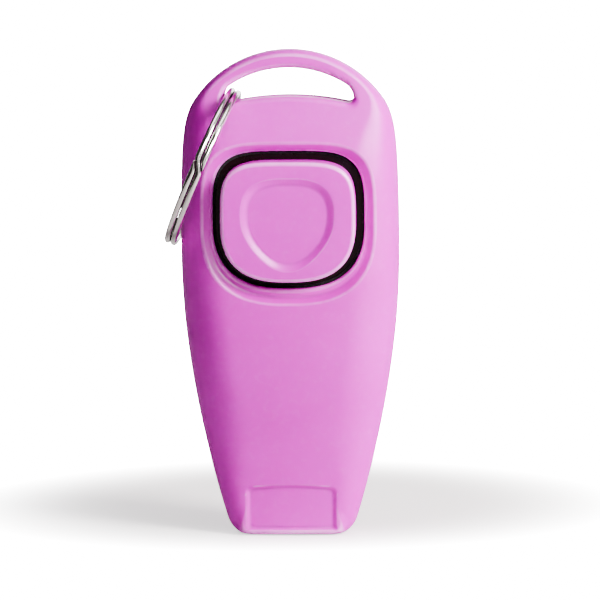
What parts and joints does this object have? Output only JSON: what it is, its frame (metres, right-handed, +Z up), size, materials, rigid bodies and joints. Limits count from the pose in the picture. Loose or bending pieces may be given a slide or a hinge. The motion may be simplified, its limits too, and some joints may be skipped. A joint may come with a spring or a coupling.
{
  "type": "training clicker",
  "caption": "Hand-held training clicker with a sprung thumb button, a built-in whistle at the mouthpiece end, and a slotted lanyard arch carrying a split ring.",
  "frame": {"origin": "centre of the mouthpiece end, on the plane where the two shells part", "axes": "+Z up the length to the lanyard arch, front face with the button towards -Y, +X to the right seen from the front"},
  "size_m": [0.0385, 0.0276, 0.08],
  "materials": {
    "shell_pink": "satin moulded plastic, pink",
    "button_pink": "satin moulded plastic, pink",
    "mechanism_black": "moulded black plastic",
    "gasket_foam": "soft closed-cell foam, black",
    "plunger_nylon": "natural nylon",
    "spring_steel": "bright spring steel",
    "screw_steel": "zinc-plated steel",
    "ring_nickel": "bright nickel-plated spring steel"
  },
  "bodies": {
    "housing": {"front_shell": "shell_pink", "back_shell": "shell_pink", "shell_screws": "screw_steel", "button_gasket": "gasket_foam", "return_spring_left": "spring_steel", "return_spring_right": "spring_steel", "click_frame": "mechanism_black", "frame_screws": "screw_steel", "blade_clamp": "screw_steel", "blade_screws": "screw_steel", "click_cover": "mechanism_black", "whistle_block": "shell_pink", "whistle_seal": "gasket_foam"},
    "button": {"button_cap": "button_pink", "button_carrier": "mechanism_black", "plunger_pin": "plunger_nylon"},
    "blade": {"click_blade": "spring_steel"},
    "ring": {"split_ring": "ring_nickel"}
  },
  "joints": [
    {"name": "button_press", "type": "slide", "parent": "housing", "child": "button", "axis": [0, 1, 0], "range_m": [0, 0.0016], "stiffness_N_per_m": 900, "springref_m": -0.002, "deforming": ["return_spring_left", "return_spring_right", "click_blade"]},
    {"name": "blade_flex", "type": "hinge", "parent": "housing", "child": "blade", "pos_m": [0, -0.00015, 0.0433], "axis": [-1, 0, 0], "range_deg": [0, 9.2], "deforming": ["click_blade"]},
    {"name": "ring_swing", "type": "hinge", "parent": "housing", "child": "ring", "pos_m": [-0.0089, 0, 0.0729], "axis": [0, 1, 0], "range_deg": [0, 95]}
  ],
  "couplings": [
    {"joint": "blade_flex", "follows": "button_press", "rad_per_m": 100}
  ]
}
